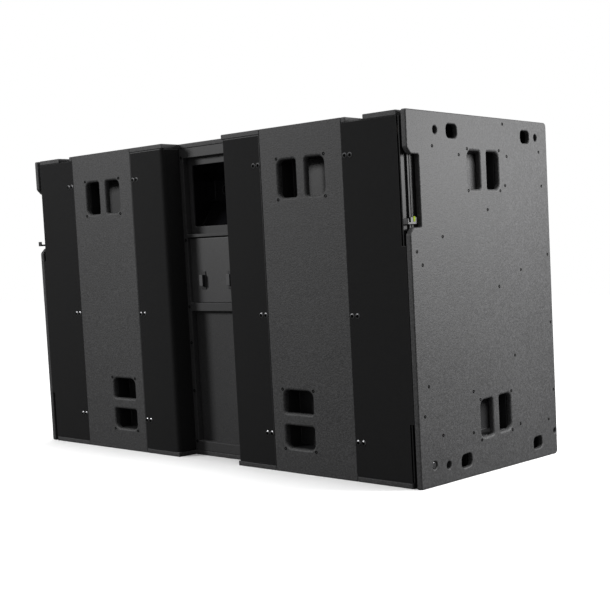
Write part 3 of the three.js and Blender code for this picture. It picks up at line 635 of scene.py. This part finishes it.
def buildRearGrilles():
    border = grilleEdge["border"]
    for side, sign in sides.items():
        buildFlatGrille(f"rear_grille_outer_{side}")
        node = f"rear_grille_inner_{side}"
        low, high = measured(node)
        strip, flank = (high.x, low.x) if sign > 0 else (low.x, high.x)
        radius = grilleEdge["bend"]
        steps = grilleEdge["bendSteps"]
        turnAt = flank + sign * radius
        plan = [(strip, 0.0), (strip - sign * border, 0.0), (turnAt, 0.0)]
        for step in range(1, steps + 1):
            angle = math.radians(90 * step / steps)
            plan.append((turnAt - sign * radius * math.sin(angle), radius - radius * math.cos(angle)))
        plan += [(flank, high.y - border), (flank, high.y)]
        buildWrappedGrille(f"rear_grille_wrap_{side}", plan, low.z, high.z, (sign * 0.7, 1, 0), [node])
        stripLow, stripHigh = measured(f"rear_strip_{side}")
        inner, outer = (stripLow.x, stripHigh.x) if sign > 0 else (stripHigh.x, stripLow.x)
        places = []
        for share in grilleRows.values():
            z = cabinetHeight * (1 - share)
            for middle in (inner - sign * screwPair["fromInner"], outer + sign * screwPair["fromOuter"]):
                places += [Vector((middle + pair * screwPair["half"], -0.0006, z)) for pair in (-1, 1)]
        addScrews(f"rear_grille_screws_{side}", "grille", places, (0, -1, 0))


frontScrews = {"rows": (0.04, 0.35, 0.65, 0.96), "fromEdge": 0.014, "proud": 0.0004}


def buildFrontGrilles():
    for side, sign in sides.items():
        node = f"front_grille_{side}"
        low, high = measured(node)
        near, far = (low.x, high.x) if sign > 0 else (high.x, low.x)
        buildFlatGrille(node)
        rows = [low.z + (high.z - low.z) * share for share in frontScrews["rows"]]
        columns = (near + sign * frontScrews["fromEdge"], far - sign * frontScrews["fromEdge"])
        places = [Vector((x, high.y + frontScrews["proud"], z)) for z in rows for x in columns]
        addScrews(f"front_grille_screws_{side}", "grille", places, (0, 1, 0))


# ---- channel

frameScrews = {"rows": (0.03, 0.2, 0.36, 0.48, 0.70, 0.97), "fromEdge": 0.0085}


def buildChannel():
    for node, finish in (("channel_frame", "framePaint"), ("service_cover", "framePaint"),
                         ("dish_bezel", "framePaint"), ("hatch_door", "hatchPaint")):
        soften(node, finish, panelEdge["frame"])
    soften("connector_dish", "dish", 0.0012)
    soften("hatch_pocket", "mould", 0.0012)
    for side in sides:
        buildLatch(side)
    frameLow, frameHigh = measured("channel_frame")
    # the frame's own fixings, down both stiles
    x = frameHigh.x - frameScrews["fromEdge"]
    rows = [frameLow.z + (frameHigh.z - frameLow.z) * share for share in frameScrews["rows"]]
    places = [Vector((s * x, frameLow.y, z)) for s in (-1, 1) for z in rows]
    addScrews("channel_frame_screws", "small", places, (0, -1, 0))


latchShape = {"litFaceDepth": 0.0008, "round": 0.0012}


# a latch painted with light and shade: its front face gets a light tone as if lit, its sides the dark moulding as
# painted shade
def buildLatch(side):
    node = f"hatch_latch_{side}"
    litFaceEnd = measured(node)[0].y + latchShape["litFaceDepth"]
    bm = copyOf(node)
    roundEdges(bm, sharpEdges(bm), latchShape["round"])
    for face in bm.faces:
        # front face painted light as if lit, all other faces painted shaded with the dark moulding
        face.material_index = 0 if face.calc_center_median().y < litFaceEnd else 1
    finishPiece(node + "_finished", bm, ["grip", "mould"], bodyOf(node), [node])


# radius and height, from the middle of the socket's face out to its rim, and down its body
socketFace = [(0.0, -0.0030), (0.0100, -0.0030), (0.0100, -0.0150), (0.0122, -0.0150), (0.0122, 0.0006),
              (0.0135, 0.0006)]
socketBody = [(0.0136, -0.0025), (0.0136, -0.0220), (0.0, -0.0220)]


def buildSockets():
    for node in ("input_socket", "link_socket"):
        low, high = measured(node)
        middle = (low + high) / 2
        outer = (high.x - low.x) / 2
        bm = bmesh.new()
        flange = [(socketFace[-1][0], 0.0), (outer, 0.0), (outer, socketBody[0][1])]
        profile = socketFace + flange + socketBody
        chain = [bm.verts.new((radius, 0, height)) for radius, height in profile]
        edges = [bm.edges.new(pair) for pair in zip(chain, chain[1:])]
        bmesh.ops.spin(bm, geom=edges + chain, cent=(0, 0, 0), axis=(0, 0, 1), angle=math.tau, steps=36,
                       use_merge=True, use_duplicate=False)
        bmesh.ops.remove_doubles(bm, verts=bm.verts, dist=0.00001)
        bmesh.ops.recalc_face_normals(bm, faces=bm.faces)
        turn = Vector((0, -1, 0)).to_track_quat("Z", "Y").to_matrix().to_4x4()
        bmesh.ops.transform(bm, matrix=Matrix.Translation((middle.x, low.y, middle.z)) @ turn, verts=bm.verts)
        finishPiece(node + "_finished", bm, "socket", "cabinet", [node])


# ---- rigging

marker = {"fromPivot": (-0.0065, 0.001), "z": (-0.002, 0.0095), "proud": 0.0008, "round": 0.0003,
          "cheekAt": 0.6605, "cheekHalf": 0.008, "sunk": 0.0004}
cornerPin = {"fromFront": 0.012, "above": 0.0262, "r": 0.0052, "inside": 0.012, "deep": 0.004,
             "round": 0.0008}


def addBlock(name, low, high, width, finish, body):
    bm = bmesh.new()
    bmesh.ops.create_cube(bm, size=1.0)
    for v in bm.verts:
        v.co = Vector([low[i] if v.co[i] < 0 else high[i] for i in range(3)])
    roundEdges(bm, bm.edges[:], width, 2)
    return finishPiece(name, bm, finish, body)


# yellow-green marker on the lever's cheek, in view while the lever is shut
def buildMarker(side):
    sign = sides[side]
    low, high = measured(f"rear_lock_lever_{side}")
    pivot = high.y - marker["cheekHalf"]
    middle = low.z + marker["cheekHalf"]
    outer = sign * marker["cheekAt"]
    span = sorted((outer - sign * marker["sunk"], outer + sign * marker["proud"]))
    y = [pivot + share for share in marker["fromPivot"]]
    z = [middle + share for share in marker["z"]]
    addBlock(f"rear_lever_marker_{side}", (span[0], y[0], z[0]), (span[1], y[1], z[1]),
             marker["round"], "marker", bodyOf(f"rear_lock_lever_{side}"))


# head of the pin that shows in the hole near the side panel's lower front corner
def buildCornerPin(side):
    sign = sides[side]
    bm = bmesh.new()
    bmesh.ops.create_circle(bm, cap_ends=True, segments=32, radius=cornerPin["r"])
    grown = bmesh.ops.extrude_face_region(bm, geom=bm.faces[:])["geom"]
    lifted = [g for g in grown if isinstance(g, bmesh.types.BMVert)]
    bmesh.ops.translate(bm, vec=(0, 0, cornerPin["deep"]), verts=lifted)
    bmesh.ops.recalc_face_normals(bm, faces=bm.faces)
    roundEdges(bm, sharpEdges(bm), cornerPin["round"])
    outer = outerFace(side)
    turn = Vector((sign, 0, 0)).to_track_quat("Z", "Y").to_matrix().to_4x4()
    place = (outer - sign * cornerPin["inside"], cabinetDepth - cornerPin["fromFront"], cornerPin["above"])
    bmesh.ops.transform(bm, matrix=Matrix.Translation(place) @ turn, verts=bm.verts)
    finishPiece(f"corner_pin_{side}", bm, "plated", "cabinet")


def buildRigging():
    for side in sides:
        for place in ("rear", "front"):
            soften(f"{place}_rigging_track_{side}", "rig", 0.0006)
            soften(f"{place}_link_arm_{side}", "rig", 0.0009)
        soften(f"rear_lock_lever_{side}", "lever", 0.0011)
        soften(f"lock_pin_{side}", "plated", 0.0012)
        buildMarker(side)
        buildCornerPin(side)


# ---- sound side and inside

def buildSoundSide():
    soften("front_waveguide", "horn", 0.0025)
    plain = {"flank_board": "plywood", "rear_baffle": "plywood", "front_baffle": "plywood",
             "rear_woofer": "cone", "front_woofer_upper": "cone", "front_woofer_lower": "cone"}
    for stem, finish in plain.items():
        for side in sides:
            dress(f"{stem}_{side}", finish)
    for number in range(1, 5):
        dress(f"hf_driver_{number}", "casting")
    dress("hatch_hinge_pin", "plated")


def dress(node, finish):
    # a node whose shape is right keeps it and gets the finish
    mesh = nodes[node].data
    mesh.materials.clear()
    mesh.materials.append(finishes[finish][0])


# ---- stage

cameraLook = {"at": (1.971, -2.210, 0.453), "along": (-0.6487, 0.7608, -0.0180),
              "across": (0.7611, 0.6485, -0.0142), "lens": 62.03}
floorLook = {"size": 60.0, "tone": (0.93, 0.93, 0.93), "bounce": (0.08, 0.08, 0.08)}
worldLook = {"seen": 1.0, "lights": 0.28}
lamps = {
    "sideLamp": {"at": (1.87, 0.75, 0.98), "toward": (0.66, 0.1, 0.65), "size": 0.6, "watts": 43},
    "rearLamp": {"at": (-2.2, -3.2, 1.7), "toward": (0.0, -0.3, 0.4), "size": 1.0, "watts": 80},
}
topSun = {"strength": 3.0, "spread": 35}


def buildStage():
    camera = bpy.data.cameras.new("camera")
    camera.lens = cameraLook["lens"]
    camera.sensor_width = 36
    cameraObject = bpy.data.objects.new("camera", camera)
    along = Vector(cameraLook["along"]).normalized()
    across = Vector(cameraLook["across"])
    across = (across - along * across.dot(along)).normalized()
    above = across.cross(along)
    turn = Matrix((across, above, -along)).transposed().to_4x4()
    cameraObject.matrix_world = Matrix.Translation(cameraLook["at"]) @ turn
    bpy.context.scene.collection.objects.link(cameraObject)
    bpy.context.scene.camera = cameraObject
    bm = bmesh.new()
    bmesh.ops.create_grid(bm, x_segments=1, y_segments=1, size=floorLook["size"] / 2)
    mesh = bpy.data.meshes.new("floor")
    bm.to_mesh(mesh)
    bm.free()
    material, tree, surface = newMaterial("paleFloor")
    mix = addNode(tree, "ShaderNodeMix", data_type="RGBA")
    mix.inputs["A"].default_value = (*floorLook["bounce"], 1)
    mix.inputs["B"].default_value = (*floorLook["tone"], 1)
    tree.links.new(tree.nodes.new("ShaderNodeLightPath").outputs["Is Camera Ray"], mix.inputs["Factor"])
    tree.links.new(mix.outputs["Result"], surface.inputs["Base Color"])
    surface.inputs["Roughness"].default_value = 0.8
    surface.inputs["Specular IOR Level"].default_value = 0.0
    mesh.materials.append(material)
    floor = bpy.data.objects.new("floor", mesh)
    bpy.context.scene.collection.objects.link(floor)
    for name, look in lamps.items():
        lamp = bpy.data.lights.new(name, "AREA")
        lamp.shape = "DISK"
        lamp.size = look["size"]
        lamp.energy = look["watts"]
        lampObject = bpy.data.objects.new(name, lamp)
        lampObject.location = look["at"]
        aim = Vector(look["toward"]) - Vector(look["at"])
        lampObject.rotation_euler = aim.to_track_quat("-Z", "Y").to_euler()
        bpy.context.scene.collection.objects.link(lampObject)
    sun = bpy.data.lights.new("topSun", "SUN")
    sun.energy = topSun["strength"]
    sun.angle = math.radians(topSun["spread"])
    sunObject = bpy.data.objects.new("topSun", sun)
    bpy.context.scene.collection.objects.link(sunObject)
    world = bpy.data.worlds.new("studio")
    world.use_nodes = True
    tree = world.node_tree
    seen = tree.nodes.new("ShaderNodeLightPath").outputs["Is Camera Ray"]
    strength = addMath(tree, "MULTIPLY", seen, worldLook["seen"] - worldLook["lights"])
    background = tree.nodes["Background"]
    background.inputs["Color"].default_value = (1, 1, 1, 1)
    tree.links.new(addMath(tree, "ADD", strength, worldLook["lights"]), background.inputs["Strength"])
    bpy.context.scene.world = world
    bpy.context.scene.view_settings.view_transform = "Standard"


buildStrips()
buildSidePanels()
buildDecks()
buildCups()
print("panels and hand holes done")
buildRearGrilles()
buildFrontGrilles()
print("grilles done")
buildChannel()
buildSockets()
print("channel done")
buildRigging()
buildSoundSide()
print("rigging and sound side done")
buildStage()
print("stage done")
